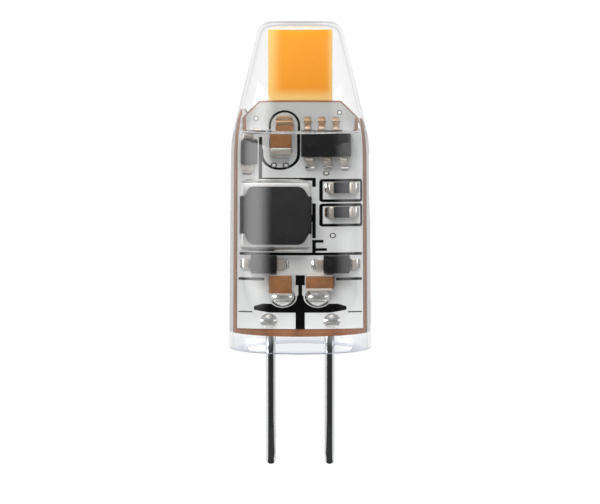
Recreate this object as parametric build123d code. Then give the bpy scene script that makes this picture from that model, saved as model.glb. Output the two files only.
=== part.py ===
from build123d import *
import math
import os

# Clear LED capsule on two pins: a thin clear cap, half filled round its driver board. Millimetres.
# +Z runs up the capsule, the component side faces -Y, and a depth is measured from the axis towards -Y.
# The origin is the centre of the pin pair on the plane of the rim.

# Contact pins
pin_spacing = 4.0
pin_diameter = 0.7
pin_reach = 7.95
pin_tip_round = 0.3
pin_shank_lap = 0.05
pin_tail_width = 0.9
pin_tail_thickness = 0.42
pin_soldered = 2.2
pin_solder_width = 1.5
pin_solder_rise = 0.36
solder_film = 0.05
fillet_hollow = 0.36

# Board stack and its margins
core_thickness = 0.5
coat_thickness = 0.05
coat_side_margin = 0.2
coat_bottom_margin = 0.28
coat_top_margin = 0.1
board_top_half = 2.75
board_corner_drop = 1.08
top_margin = 0.66

# Clear cap, and the filling that stops short of its rim and its crown
cap_wall = 0.3
rim_round = 0.1
edge_skin = 0.7
corner_skin = 0.36
crown_skin = 0.45
crown_side_skin = 0.58
side_draft = 0.6
crown_round = 1.0
shoulder_blend = 9.4
shoulder_drop = 2.6
recess_depth = 1.18
fill_rise = 0.5
meniscus_rise = 0.3
meniscus_run = 0.3
meniscus_lap = 0.02

# Filling drawn up in the corners between the board's face and the cap
climb_left = 1.65
climb_right = 1.0
climb_x = 3.85
climb_foot = 0.9
climb_tip = 0.25
climb_seat = 0.2

# Light plate
plate_width = 4.2
plate_thickness = 0.3
plate_tail = 1.4
phosphor_width = 4.34
phosphor_height = 5.05
phosphor_lap = 0.25
plate_joint_spacing = 2.6
plate_joint_width = 1.0
plate_joint_height = 0.8
plate_joint_drop = 0.4

# Power inductor
inductor_width = 4.1
inductor_length = 4.1
inductor_height = 1.2
inductor_side_gap = 0.18
flange_foot = 0.3
flange_top = 0.4
flange_top_width = 4.0
flange_top_length = 3.9
flange_chamfer_x = 0.42
flange_chamfer_z = 0.85
drum_radius = 1.0
winding_radius = 1.75
terminal_width = 3.9
terminal_length = 0.8
terminal_thickness = 0.12
terminal_solder = 0.26

# Resistors and the dark frames round them
frame_width = 2.65
frame_height = 1.56
frame_gap = 0.09
frame_line = 0.19
frame_round = 0.2
frame_side_gap = 0.04
column_gap = 0.39
column_shift = 0.08
hook_drop = 0.2
resistor_length = 1.55
resistor_width = 0.74
resistor_height = 0.45
resistor_end = 0.32
resistor_shift = 0.2
resistor_solder = 0.26

# Driver chip
chip_length = 2.8
chip_width = 1.6
chip_height = 1.1
chip_bevel = 0.12
lead_pitch = 0.95
lead_width = 0.4
lead_reach = 0.6
lead_knee = 0.26
lead_rise = 0.5
lead_thickness = 0.14
lead_solder = 0.35
lead_solder_width = 0.52
chip_row_gap = 0.535
chip_ring_gap = 0.05

# Input capacitor and the dark ring round it
ring_width = 2.12
ring_length = 3.85
ring_line = 0.16
ring_lift = 0.25
ring_break = 1.2
capacitor_length = 2.1
capacitor_width = 1.15
capacitor_height = 0.85
capacitor_end = 0.38
capacitor_lift = 0.2
capacitor_solder = 0.3

# Side diode, upright beside the ring
side_diode_length = 1.6
side_diode_width = 1.1
side_diode_height = 0.9
side_diode_gap = 0.28
side_diode_drop = 0.52

# Lower diodes, lying in one row
diode_length = 1.5
diode_width = 1.22
diode_height = 0.9
diode_bevel = 0.1
diode_lead = 0.42
diode_lead_width = 0.7
diode_lead_thickness = 0.18
diode_solder = 0.28
diode_centre_gap = 1.12
diode_line_gap = 0.08

# Chip capacitors and solder balls between the diodes and the pin pads
left_chip_width = 1.2
left_chip_length = 1.4
left_chip_end = 0.12
right_chip_width = 1.5
right_chip_length = 1.12
right_chip_end = 0.18
small_chip_height = 0.7
small_chip_gap = 0.04
small_chip_x = 1.06
ball_radius = 0.7
ball_height = 0.55
ball_x = 0.92
ball_lap = 0.47
arm_band = 0.38
dome_radius = 0.5
dome_gap = 0.05
dome_height = 0.26
dome_x = 1.66

# Dark gap lines and plated vias
gap_line = 0.19
fine_line = 0.08
tee_width = 0.48
neck_width = 0.2
head_height = 0.68
head_lift = 0.42
arm_half = 2.5
arm_round = 0.1
arm_rise = 0.22
arm_step = 0.18
arm_slope_low = 0.9
arm_slope_high = 0.5
neck_rise = 0.1
ball_line_gap = 0.05
stub_width = 0.225
stub_height = 0.45
corner_height = 0.95
upper_tick_length = 0.5
lower_tick_length = 0.68
lower_tick_rise = 0.2
pad_line_drop = 0.4
pad_line_gap = 0.08
arm_line_gap = 0.1

# Plated vias, placed from the parts beside them
via_ring_radius = 0.18
via_plug_radius = 0.1
inductor_via_x = 0.65
inductor_via_z = 0.4
frame_via_gap = 0.6
chip_via_x = 0.24
chip_via_drop = 0.8
side_via_drop = 1.2
ring_via_gap = 0.32

# Depths of the board's faces, from the axis
pin_radius = pin_diameter / 2
board_rear = pin_radius + solder_film
core_rear = board_rear + coat_thickness
core_front = core_rear + core_thickness
board_face = core_front + coat_thickness
phosphor_thickness = board_rear - plate_thickness / 2

# Columns: the inductor and the framed resistors side by side set the board's width
coat_half = (inductor_side_gap + inductor_width + column_gap + frame_width + frame_side_gap) / 2
board_half = coat_half + coat_side_margin
inductor_x = -coat_half + inductor_side_gap + inductor_width / 2
frame_x = coat_half - frame_side_gap - frame_width / 2
column_line_x = inductor_x + (inductor_width + column_gap) / 2 - column_shift

# Rows, from the lower edge up
board_bottom = recess_depth
coat_bottom = board_bottom + coat_bottom_margin
dome_z = coat_bottom + dome_gap + dome_radius
arm_z = dome_z + dome_radius + dome_gap
ball_z = arm_z + arm_band + ball_radius
chip_stack = max(left_chip_length, right_chip_length)
small_chip_top = ball_z + ball_radius - ball_lap - 2 * small_chip_gap + chip_stack
diode_z = small_chip_top + small_chip_gap + diode_width / 2
cross_line_z = diode_z + diode_width / 2 + diode_line_gap
inductor_foot = terminal_thickness + terminal_solder
inductor_z = cross_line_z + gap_line + inductor_foot + inductor_length / 2
inductor_top = inductor_z + inductor_length / 2 + inductor_foot
chip_z = inductor_top + chip_row_gap + lead_solder + lead_reach + chip_width / 2
ring_z = chip_z + ring_lift
ring_top = ring_z + ring_length / 2
board_top = ring_top + top_margin
board_corner_z = board_top - board_corner_drop

# Top row, from the ring outwards
ring_x = -ring_width / 2
chip_x = chip_ring_gap + chip_length / 2
side_diode_x = -ring_width - side_diode_gap - side_diode_width / 2
side_diode_z = chip_z - side_diode_drop
capacitor_z = ring_z + capacitor_lift
upper_frame_z = inductor_z + frame_height + frame_gap
lower_diode_reach = diode_length / 2 + diode_lead + diode_solder
lower_diode_x = diode_centre_gap / 2 + lower_diode_reach

# Clear cap and filling, worked out from what they hold
body_height = board_top + phosphor_height + crown_skin
shoulder_z = board_top - shoulder_drop
shoulder_radius = math.hypot(board_half, board_face) + edge_skin
draft_slope = math.tan(math.radians(side_draft))
rim_radius = shoulder_radius + shoulder_z * draft_slope
crown_radius = phosphor_width / 2 + crown_side_skin
crown_slope = (shoulder_radius - crown_radius) / (body_height - shoulder_z)
blend_reach = shoulder_blend * math.tan((math.atan(crown_slope) - math.radians(side_draft)) / 2)
corner_radius = crown_radius + (body_height - board_corner_z) * crown_slope
board_corner_half = math.sqrt((corner_radius - corner_skin) ** 2 - board_face**2)
fill_z = shoulder_z + fill_rise
contact_z = fill_z + meniscus_rise
level_wall = cap_wall * math.hypot(1, crown_slope)
contact_radius = crown_radius + (body_height - contact_z) * crown_slope - level_wall

LEFT, RIGHT, UP, DOWN = (-1, 0, 0), (1, 0, 0), (0, 0, 1), (0, 0, -1)
FRONT = (0, -1, 0)


def face_plane(depth):
    """Plane towards the viewer at a depth, with its own axes along X and Z."""
    return Plane(origin=(0, -depth, 0), x_dir=RIGHT, z_dir=FRONT)


def raised(sketch, base, height):
    """Solid that stands on the plane at base and grows towards the viewer."""
    return extrude(face_plane(base) * sketch, height)


def block(x, z, width, length, base, height):
    """Box with its width along X and its length along Z, standing on the plane at base."""
    return Pos(x, -base - height / 2, z) * Box(width, height, length)


def group(*shapes):
    """Separate solids kept in one node."""
    return Compound([solid for shape in shapes for solid in shape.solids()])


def bar(x_low, x_high, z_low, z_high):
    """Rectangle on the board's face between two corners."""
    centre = Pos((x_low + x_high) / 2, (z_low + z_high) / 2)
    return centre * Rectangle(x_high - x_low, z_high - z_low)


def solder_fillet(x, z, outward, width, length, height):
    """Concave fillet from a metal end down to the board, growing along outward."""
    lateral = Vector(outward).cross(Vector(FRONT))
    plane = Plane(origin=(x, -board_face, z), x_dir=outward, z_dir=lateral)
    foot = Line((0, 0), (length, 0))
    hollow = ThreePointArc((length, 0), (fillet_hollow * length, fillet_hollow * height), (0, height))
    back = Line((0, height), (0, 0))
    return extrude(plane * make_face([foot, hollow, back]), width / 2, both=True)


def bevelled_body(x, z, width, length, height, bevel):
    """Moulded package with its front edges bevelled."""
    body = block(x, z, width, length, board_face, height)
    return chamfer(body.faces().sort_by(Axis.Y)[0].edges(), bevel)


def dome(x, z, radius, height):
    """Solder cap with a round foot of the given radius."""
    sphere = (radius**2 + height**2) / (2 * height)
    ball = Pos(x, -board_face + sphere - height, z) * Sphere(sphere)
    return ball & block(x, z, 4 * radius, 4 * radius, board_face, 2 * height)


def chip_part(x, z, length, width, height, end, along):
    """Two-terminal chip: its body, and the metal ends beside it along one direction."""
    step = Vector(along) * ((length - end) / 2)
    flat = along in (LEFT, RIGHT)
    body_size = (length - 2 * end, width) if flat else (width, length - 2 * end)
    end_size = (end, width) if flat else (width, end)
    body = block(x, z, *body_size, board_face, height)
    near = block(x + step.X, z + step.Z, *end_size, board_face, height)
    far = block(x - step.X, z - step.Z, *end_size, board_face, height)
    return body, group(near, far)


def flat_leads(x, z, length, along):
    """Flat leads at both ends of a diode, with a solder fillet past each."""
    leads, solder = [], []
    for sign in (-1, 1):
        outward = Vector(along) * sign
        lead_at = Vector(x, 0, z) + outward * ((length + diode_lead) / 2)
        toe_at = Vector(x, 0, z) + outward * (length / 2 + diode_lead)
        flat = along == RIGHT
        size = (diode_lead, diode_lead_width) if flat else (diode_lead_width, diode_lead)
        leads.append(block(lead_at.X, lead_at.Z, *size, board_face, diode_lead_thickness))
        toe = solder_fillet(
            toe_at.X, toe_at.Z, tuple(outward), diode_lead_width, diode_solder, diode_lead_thickness
        )
        solder.append(toe)
    return group(*leads), group(*solder)


def board_outline():
    """Face of the board: straight sides, shoulders that follow the body, and chamfered top corners."""
    right = [
        (board_half, board_bottom),
        (board_half, shoulder_z - blend_reach),
        (board_corner_half, board_corner_z),
        (board_top_half, board_top),
    ]
    left = [(-x, z) for x, z in reversed(right)]
    return make_face(Polyline(*right, *left, close=True))


def via_places():
    """Centres of the plated vias on the board's face."""
    ring_floor = ring_z - ring_length / 2
    return [
        (column_line_x + inductor_via_x, inductor_top + inductor_via_z),
        (frame_x - frame_via_gap, inductor_z - frame_height / 2 - frame_via_gap),
        (chip_x + lead_pitch + chip_via_x, board_top - chip_via_drop),
        (side_diode_x, board_top - side_via_drop),
        (ring_x - ring_via_gap, ring_floor + ring_via_gap),
        (ring_x + ring_via_gap, ring_floor + ring_via_gap),
    ]


def via_discs(radius):
    """One disc at every via."""
    return Sketch() + [Pos(x, z) * Circle(radius) for x, z in via_places()]


def frame_sketch(z):
    """Rounded dark frame round one resistor."""
    outer = fillet(Rectangle(frame_width, frame_height).vertices(), frame_round)
    inside = Rectangle(frame_width - 2 * frame_line, frame_height - 2 * frame_line)
    return Pos(frame_x, z) * (outer - inside)


def ring_sketch():
    """Stadium ring round the input capacitor, broken on its left side."""
    outer = SlotOverall(ring_length, ring_width, rotation=90)
    inner = SlotOverall(ring_length - 2 * ring_line, ring_width - 2 * ring_line, rotation=90)
    opening = Pos(-ring_width / 2, 0) * Rectangle(2 * ring_line, ring_break)
    return Pos(ring_x, ring_z) * (outer - inner - opening)


def tee_sketch():
    """Dark gap between the two pin pads: a bar, a neck, two arms under the balls and a foot."""
    ball_floor = ball_z - ball_radius
    arm_top = ball_floor + arm_rise
    head_z = ball_z + ball_radius + head_lift
    head_low, head_high = head_z - head_height / 2, head_z + head_height / 2
    half_neck = neck_width / 2
    right = [
        (tee_width / 2, arm_z),
        (arm_half - arm_slope_low, arm_z),
        (arm_half, arm_z + arm_step),
        (arm_half, arm_top - arm_step),
        (arm_half - arm_slope_high, arm_top),
        (ball_x, arm_top),
        (half_neck, ball_z + neck_rise),
    ]
    left = [(-x, z) for x, z in reversed(right)]
    arms = make_face(Polyline(*right, *left, close=True))
    tips = [v for v in arms.vertices() if abs(abs(v.X) - arm_half) < 0.01]
    arms = fillet(tips, arm_round)
    neck = bar(-half_neck, half_neck, ball_z, head_z)
    head = bar(-tee_width / 2, tee_width / 2, head_low, head_high)
    foot = bar(-tee_width / 2, tee_width / 2, coat_bottom, arm_z + fine_line)
    balls = [Pos(sign * ball_x, ball_z) * Circle(ball_radius + ball_line_gap) for sign in (-1, 1)]
    return (arms - balls) + neck + head + foot


def column_lines():
    """Lines between the inductor and the resistors, and the hooked line above the inductor."""
    x = column_line_x
    half = gap_line / 2
    hook_z = inductor_top + gap_line - hook_drop
    hook = bar(-ring_width - half, x + half, hook_z - half, hook_z + half)
    hook_side = bar(-ring_width - half, -ring_width + half, hook_z - half, chip_z + chip_width / 4)
    hook_end = bar(x - half, x + half, hook_z - frame_height / 3, hook_z)
    divide = bar(x - half, x + half, inductor_z - frame_height, inductor_z + frame_height / 2)
    stub = bar(x - stub_width, x, inductor_z - stub_height, inductor_z)
    corner_top = cross_line_z + corner_height
    corner = bar(x - half, x + half, cross_line_z, corner_top)
    upper_tick = bar(x - half, x + upper_tick_length, corner_top - gap_line, corner_top)
    tick_z = cross_line_z + lower_tick_rise
    lower_tick = bar(x - half, x + lower_tick_length, tick_z, tick_z + gap_line)
    cross = bar(-coat_half + gap_line, coat_half - half, cross_line_z - half, cross_line_z + half)
    return hook + hook_side + hook_end + divide + stub + corner + upper_tick + lower_tick + cross


def pad_lines():
    """Fine lines above the pin pads and heavier ones under the diodes."""
    half = gap_line / 2
    under = diode_z - diode_width / 2 - pad_line_drop
    inner = small_chip_x + max(left_chip_width, right_chip_width) / 2 + pad_line_gap
    lines = Sketch()
    for sign in (-1, 1):
        near, far = sorted((sign * inner, sign * (coat_half - half)))
        lines += bar(near, far, under - half, under + half)
        near, far = sorted((sign * (arm_half + arm_line_gap), sign * (coat_half - half)))
        lines += bar(near, far, arm_z, arm_z + fine_line)
    return lines


def board_parts():
    """Core, white coats, dark lines and plated vias."""
    outline = board_outline()
    discs = via_discs(via_plug_radius)
    ring_discs = via_discs(via_ring_radius)
    window = bar(-coat_half, coat_half, coat_bottom, board_top)
    coat = offset(outline, -coat_top_margin, kind=Kind.INTERSECTION) & window
    lines = ring_sketch() + tee_sketch() + column_lines() + pad_lines()
    lines += frame_sketch(inductor_z) + frame_sketch(upper_frame_z)
    lines = (lines & coat) - ring_discs
    rear_coat = offset(outline, -coat_top_margin, kind=Kind.INTERSECTION)
    return {
        "board_core": raised(outline - discs, core_rear, core_thickness),
        "board_front_coat": raised(coat - lines - ring_discs, core_front, coat_thickness),
        "board_dark_lines": raised(lines, core_front, coat_thickness),
        "board_rear_coat": raised(rear_coat - discs, board_rear, coat_thickness),
        "via_rings": raised(ring_discs - discs, core_front, coat_thickness),
        "via_plugs": raised(discs, board_rear, board_face - board_rear),
    }


def light_plate_parts():
    """Ceramic plate on the axis, its two phosphor coats and the joints to the board's rear."""
    tail_z = board_top - plate_tail
    top_z = board_top + phosphor_height
    coat_low = board_top - phosphor_lap
    half = plate_thickness / 2
    plate_mid = (tail_z + top_z) / 2
    coat_mid = (coat_low + top_z) / 2
    coat_length = top_z - coat_low
    joint_z = board_top - plate_joint_drop - plate_joint_height / 2
    joint_x = plate_joint_spacing / 2
    joints = [
        block(x, joint_z, plate_joint_width, plate_joint_height, half, board_rear - half)
        for x in (-joint_x, joint_x)
    ]
    rear_base = -half - phosphor_thickness
    return {
        "light_plate": block(0, plate_mid, plate_width, top_z - tail_z, -half, plate_thickness),
        "phosphor_front": block(0, coat_mid, phosphor_width, coat_length, half, phosphor_thickness),
        "phosphor_rear": block(0, coat_mid, phosphor_width, coat_length, rear_base, phosphor_thickness),
        "plate_joints": group(*joints),
    }


def pin_parts():
    """Two round pins with domed tips and flattened tails, and the solder that holds each to the board."""
    shank_top = recess_depth + pin_shank_lap
    tail_top = board_bottom + pin_soldered
    tail_front = pin_radius - solder_film
    saddle_rear = board_rear - pin_solder_rise
    parts = {}
    for name, sign in (("left", -1), ("right", 1)):
        x = sign * pin_spacing / 2
        shank = Pos(x, 0, -pin_reach) * extrude(Circle(pin_radius), shank_top + pin_reach)
        shank = fillet(shank.edges().sort_by(Axis.Z)[0], pin_tip_round)
        tail = block(
            x, (shank_top + tail_top) / 2, pin_tail_width, tail_top - shank_top,
            tail_front - pin_tail_thickness, pin_tail_thickness,
        )
        section = Polyline(
            (x - pin_solder_width / 2, -board_rear),
            (x + pin_solder_width / 2, -board_rear),
            (x + pin_tail_width / 2, -saddle_rear),
            (x - pin_tail_width / 2, -saddle_rear),
            close=True,
        )
        saddle = extrude(Pos(0, 0, shank_top) * make_face(section), tail_top - shank_top)
        parts["pin_" + name] = shank + tail
        parts["pin_solder_" + name] = saddle - tail
    return parts


def driver_chip_parts():
    """Six-lead driver chip with gull-wing leads and a solder fillet at each toe."""
    outline = [
        (0, lead_rise),
        (lead_knee, lead_rise),
        (lead_knee, lead_thickness),
        (lead_reach, lead_thickness),
        (lead_reach, 0),
        (lead_knee - lead_thickness, 0),
        (lead_knee - lead_thickness, lead_rise - lead_thickness),
        (0, lead_rise - lead_thickness),
    ]
    profile = make_face(Polyline(*outline, close=True))
    leads, solder = [], []
    for outward, sign in ((UP, 1), (DOWN, -1)):
        root = chip_z + sign * chip_width / 2
        toe = root + sign * lead_reach
        for column in (-1, 0, 1):
            x = chip_x + column * lead_pitch
            lateral = Vector(outward).cross(Vector(FRONT))
            plane = Plane(origin=(x, -board_face, root), x_dir=outward, z_dir=lateral)
            leads.append(extrude(plane * profile, lead_width / 2, both=True))
            solder.append(solder_fillet(x, toe, outward, lead_solder_width, lead_solder, lead_thickness))
    return {
        "driver_chip_body": bevelled_body(chip_x, chip_z, chip_length, chip_width, chip_height, chip_bevel),
        "driver_chip_leads": group(*leads),
        "driver_chip_solder": group(*solder),
    }


def inductor_parts():
    """Ferrite drum with an octagonal top flange, its winding, end terminals and solder strips."""
    foot_length = inductor_length - 2 * terminal_length
    foot = block(inductor_x, inductor_z, inductor_width, foot_length, board_face, flange_foot)
    drum_base = board_face + flange_foot
    drum_height = inductor_height - flange_foot - flange_top
    spot = Pos(inductor_x, inductor_z)
    drum = raised(spot * Circle(drum_radius), drum_base, drum_height)
    winding = raised(spot * (Circle(winding_radius) - Circle(drum_radius)), drum_base, drum_height)
    half_x, half_z = flange_top_width / 2, flange_top_length / 2
    quarter = [(half_x, half_z - flange_chamfer_z), (half_x - flange_chamfer_x, half_z)]
    octagon = quarter + [(-x, z) for x, z in reversed(quarter)]
    octagon += [(-x, -z) for x, z in octagon]
    cap = raised(spot * make_face(Polyline(*octagon, close=True)), drum_base + drum_height, flange_top)
    terminals, solder = [], []
    for outward, sign in ((UP, 1), (DOWN, -1)):
        toe = inductor_z + sign * (inductor_length / 2 + terminal_thickness)
        clip_z = toe - sign * (terminal_length + terminal_thickness) / 2
        clip_length = terminal_length + terminal_thickness
        terminals.append(block(inductor_x, clip_z, terminal_width, clip_length, board_face, flange_foot))
        solder.append(solder_fillet(inductor_x, toe, outward, terminal_width, terminal_solder, flange_foot))
    return {
        "inductor_core": foot + drum + cap,
        "inductor_winding": winding,
        "inductor_terminals": group(*terminals),
        "inductor_solder": group(*solder),
    }


def capacitor_parts():
    """Input capacitor standing upright inside the ring."""
    body, ends = chip_part(
        ring_x, capacitor_z, capacitor_length, capacitor_width, capacitor_height, capacitor_end, UP
    )
    solder = [
        solder_fillet(
            ring_x, capacitor_z + sign * capacitor_length / 2, outward, capacitor_width, capacitor_solder,
            capacitor_height / 2,
        )
        for outward, sign in ((UP, 1), (DOWN, -1))
    ]
    return {
        "input_capacitor_body": body,
        "input_capacitor_ends": ends,
        "input_capacitor_solder": group(*solder),
    }


def resistor_parts():
    """Two chip resistors, one in each frame."""
    parts, solder = {}, []
    for name, row in (("upper", upper_frame_z), ("lower", inductor_z)):
        z = row + resistor_shift
        body, ends = chip_part(
            frame_x, z, resistor_length, resistor_width, resistor_height, resistor_end, RIGHT
        )
        parts[name + "_resistor_body"] = body
        parts[name + "_resistor_ends"] = ends
        for outward, sign in ((LEFT, -1), (RIGHT, 1)):
            toe = frame_x + sign * resistor_length / 2
            solder.append(
                solder_fillet(toe, z, outward, resistor_width, resistor_solder, resistor_height / 2)
            )
    parts["resistor_solder"] = group(*solder)
    return parts


def diode_parts():
    """Side diode upright, and the two lower diodes in one row."""
    side_leads, side_solder = flat_leads(side_diode_x, side_diode_z, side_diode_length, UP)
    parts = {
        "side_diode_body": bevelled_body(
            side_diode_x, side_diode_z, side_diode_width, side_diode_length, side_diode_height, diode_bevel
        ),
        "side_diode_leads": side_leads,
        "side_diode_solder": side_solder,
    }
    toes = []
    for name, sign in (("left", -1), ("right", 1)):
        x = sign * lower_diode_x
        leads, solder = flat_leads(x, diode_z, diode_length, RIGHT)
        parts[name + "_diode_body"] = bevelled_body(
            x, diode_z, diode_length, diode_width, diode_height, diode_bevel
        )
        parts[name + "_diode_leads"] = leads
        toes.append(solder)
    parts["lower_diode_solder"] = group(*toes)
    return parts


def lower_parts():
    """Chip capacitors hanging from the diode row, the solder balls under them and the pin pad domes."""
    sizes = {
        "left": (-1, left_chip_length, left_chip_width, left_chip_end),
        "right": (1, right_chip_length, right_chip_width, right_chip_end),
    }
    parts = {}
    for name, (sign, length, width, end) in sizes.items():
        body, ends = chip_part(
            sign * small_chip_x, small_chip_top - length / 2, length, width, small_chip_height, end, UP
        )
        ball = dome(sign * ball_x, ball_z, ball_radius, ball_height)
        parts[name + "_chip_body"] = body
        parts[name + "_chip_ends"] = ends
        parts["solder_ball_" + name] = ball - body - ends
        parts["pad_dome_" + name] = dome(sign * dome_x, dome_z, dome_radius, dome_height)
    return parts


def capsule_section():
    """Whole axial section of the capsule's outer form, carried a little past its rim."""
    right = [
        (rim_radius + cap_wall * draft_slope, -cap_wall),
        (shoulder_radius, shoulder_z),
        (crown_radius, body_height),
    ]
    left = [(-x, z) for x, z in reversed(right)]
    section = make_face(Polyline(*right, *left, close=True))
    shoulders = [v for v in section.vertices() if abs(v.Y - shoulder_z) < 0.01]
    section = fillet(shoulders, shoulder_blend)
    crowns = [v for v in section.vertices() if abs(v.Y - body_height) < 0.01]
    return fillet(crowns, crown_round)


def air_section():
    """Half section of the air over the filling, whose surface climbs the cap's wall."""
    edge = contact_radius + meniscus_lap
    foot = edge - meniscus_run
    surface = Line((0, fill_z), (foot, fill_z))
    climb = EllipticalCenterArc((foot, contact_z), meniscus_run, meniscus_rise, -90, arc_size=90)
    rest = Polyline((edge, contact_z), (edge, body_height), (0, body_height), (0, fill_z))
    return make_face([surface, climb, *rest.edges()])


def turned(section):
    """Solid turned from the part of an axial section that lies right of the axis and above the rim."""
    half = section & bar(0, 2 * rim_radius, 0, body_height)
    return revolve(Plane.XZ * half, Axis.Z)


def drawn_up(x, rise):
    """Cone of filling that climbs where the board's face meets the cap."""
    cone = Cone(climb_foot, climb_tip, rise + climb_seat, align=(Align.CENTER, Align.CENTER, Align.MIN))
    return Pos(x, -board_face, fill_z - climb_seat) * cone


def clear_parts(embedded):
    """Thin clear cap, open at its rim, and the filling cast round the board and what it carries."""
    section = capsule_section()
    room = offset(section, -cap_wall)
    inside = turned(room)
    cap = turned(section) - inside
    cap = fillet(cap.edges().group_by(Axis.Z)[0], rim_round)
    filled = (room & bar(0, 2 * rim_radius, recess_depth, body_height)) - air_section()
    climbs = [inside & drawn_up(-climb_x, climb_left), inside & drawn_up(climb_x, climb_right)]
    board = raised(board_outline(), board_rear, board_face - board_rear)
    solids = [solid for shape in embedded for solid in shape.solids()]
    filling = turned(filled) + climbs - [board, *solids]
    return {"clear_body": cap, "clear_filling": filling}


on_board = {
    **light_plate_parts(),
    **pin_parts(),
    **driver_chip_parts(),
    **inductor_parts(),
    **capacitor_parts(),
    **resistor_parts(),
    **diode_parts(),
    **lower_parts(),
}
nodes = {**clear_parts(on_board.values()), **board_parts(), **on_board}

os.makedirs("parts", exist_ok=True)
for name, shape in nodes.items():
    export_step(shape, f"parts/{name}.step")
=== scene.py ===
import math
from collections import namedtuple

import bpy
from mathutils import Matrix, Vector


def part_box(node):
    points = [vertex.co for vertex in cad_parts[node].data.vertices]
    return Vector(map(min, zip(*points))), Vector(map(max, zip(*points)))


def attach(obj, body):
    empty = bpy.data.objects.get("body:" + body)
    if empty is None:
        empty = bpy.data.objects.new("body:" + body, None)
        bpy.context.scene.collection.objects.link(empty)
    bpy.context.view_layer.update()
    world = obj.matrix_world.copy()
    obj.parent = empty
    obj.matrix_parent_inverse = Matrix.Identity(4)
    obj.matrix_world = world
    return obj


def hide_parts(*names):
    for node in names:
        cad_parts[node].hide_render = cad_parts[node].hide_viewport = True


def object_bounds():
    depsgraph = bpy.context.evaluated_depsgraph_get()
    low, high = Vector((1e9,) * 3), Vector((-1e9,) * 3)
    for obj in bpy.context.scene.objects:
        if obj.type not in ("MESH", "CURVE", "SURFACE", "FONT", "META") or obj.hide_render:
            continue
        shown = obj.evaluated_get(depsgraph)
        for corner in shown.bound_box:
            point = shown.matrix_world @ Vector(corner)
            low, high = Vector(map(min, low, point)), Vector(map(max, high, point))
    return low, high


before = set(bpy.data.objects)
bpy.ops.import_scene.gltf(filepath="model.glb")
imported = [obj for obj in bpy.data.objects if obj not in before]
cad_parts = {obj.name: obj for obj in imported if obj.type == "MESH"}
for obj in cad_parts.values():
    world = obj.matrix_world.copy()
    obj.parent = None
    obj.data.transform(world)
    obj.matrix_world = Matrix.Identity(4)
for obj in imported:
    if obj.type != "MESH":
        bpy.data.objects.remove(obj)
cad_low, cad_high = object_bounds()

bl_info = {
    "name": "LED capsule bulb",
    "version": (1, 0, 0),
    "blender": (4, 5, 0),
    "location": "View3D > Sidebar > Capsule",
    "description": "Dresses a clear two-pin LED capsule and the driver board inside it",
    "category": "Object",
}

body_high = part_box("clear_body")[1]
fill_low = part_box("clear_filling")[0]
coat_low, coat_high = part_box("board_front_coat")
pin_low, pin_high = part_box("pin_right")
pin_offset = (pin_low.x + pin_high.x) / 2
MM = 0.001
RIGHT, FRONT, UP = Vector((1, 0, 0)), Vector((0, -1, 0)), Vector((0, 0, 1))

# Points closer than this are one point, and directions with a larger cosine run the same way
SAME_PLACE = 1e-7
SAME_WAY = 0.9

# Rounds on the edges of small parts, as lengths and as shares of a thickness
SHEET_ROUND = 0.07 * MM
STRIP_ROUND = 0.08 * MM
FLAT_ROUND = 0.05 * MM
BLOCK_ROUND = 0.035 * MM
JOINT_ROUND_SHARE = 0.22
LEAD_ROUND_SHARE = 0.25
END_ROUND_SHARE = 0.45

# Dimple in the driver chip: radius at its floor and above its mouth, depth, and place from the case's corner
MARK_FLOOR = 0.11 * MM
MARK_MOUTH = 0.13 * MM
MARK_DEPTH = 0.06 * MM
MARK_ABOVE = 0.1 * MM
MARK_INSET = 0.36 * MM

# Mottle of the finishes: grains to each cloud, their share of the height and its depth, and the clouds' range
GRAIN_PER_CLOUD = 6.3
GRAIN_HEIGHT = 0.4
GRAIN_DEPTH = 0.02 * MM
CLOUD_RANGE = (0.32, 0.68)

# Painted light: warm glow of the light plate painted on the metal above the filling, and how far from the
# filling's level it sets in
PLATE_PAINTED_LIGHT = (0.72, 0.50, 0.33, 1)
PLATE_LIGHT_START, PLATE_LIGHT_END = -0.1 * MM, 0.5 * MM

# Painted reflections on the phosphor, as paler bands: widths of the side ones, and where the foot's is full
# and where it ends
BAND_LEFT, BAND_RIGHT = 1.05 * MM, 0.4 * MM
FOOT_FULL, FOOT_END = 0.25 * MM, 1.2 * MM

# Painted shade on the white coat, from the board's foot to its top, deepening towards the top
COAT_PAINTED_SHADE = (
    (0.0, (1.0, 1.0, 1.0)),
    (0.35, (0.92, 0.92, 0.92)),
    (0.72, (0.90, 0.90, 0.90)),
    (0.86, (0.82, 0.82, 0.82)),
    (0.92, (0.61, 0.61, 0.61)),
    (1.0, (0.58, 0.58, 0.56)),
)

# Clear plastic: ripple of the mould, painted shade up the rim, gloss left just under the top, and a painted
# glow for light trapped inside
PLASTIC_IOR = 1.42
RIPPLE_SCALE = 0.35 / MM
RIPPLE_STRENGTH = 0.006
RIPPLE_DEPTH = 0.05 * MM
RIM_PAINTED_SHADE = (
    (0.0, (0.62, 0.66, 0.74)),
    (0.2, (0.91, 0.92, 0.935)),
    (0.5, (0.92, 0.925, 0.94)),
    (1.0, (1.0, 1.0, 1.0)),
)
CROWN_GLOSS = 0.1
CROWN_START, CROWN_END = 1.4 * MM, 0.9 * MM
TRAPPED_TINT = (0.98, 0.98, 1.0, 1)
TRAPPED_PAINTED_GLOW = 0.55
TRAPPED_DEPTH = 2.5

# Floor, by the bearing from the nearest pin, and panels, by their share across and up
FLOOR_TONES = ((0.60, 0.60, 0.60, 1), (0.62, 0.62, 0.62, 1))
FLOOR_DARK = (0.04, 0.04, 0.04, 1)
FLOOR_GRAIN = 400.0
FLOOR_AHEAD = (-0.25, -0.55)
FLOOR_GLOW = 0.62
FLOOR_MIRROR_SHARE = 0.4
PANEL_RISE = (-0.2, 0.5)
PANEL_FALL = (0.97, 0.5)
PANEL_FOOT = (0.0, 0.07)
PANEL_DISTANCE = 0.4
PANEL_ELEVATION = 2.6
PANEL_HEIGHT = 0.1

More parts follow.
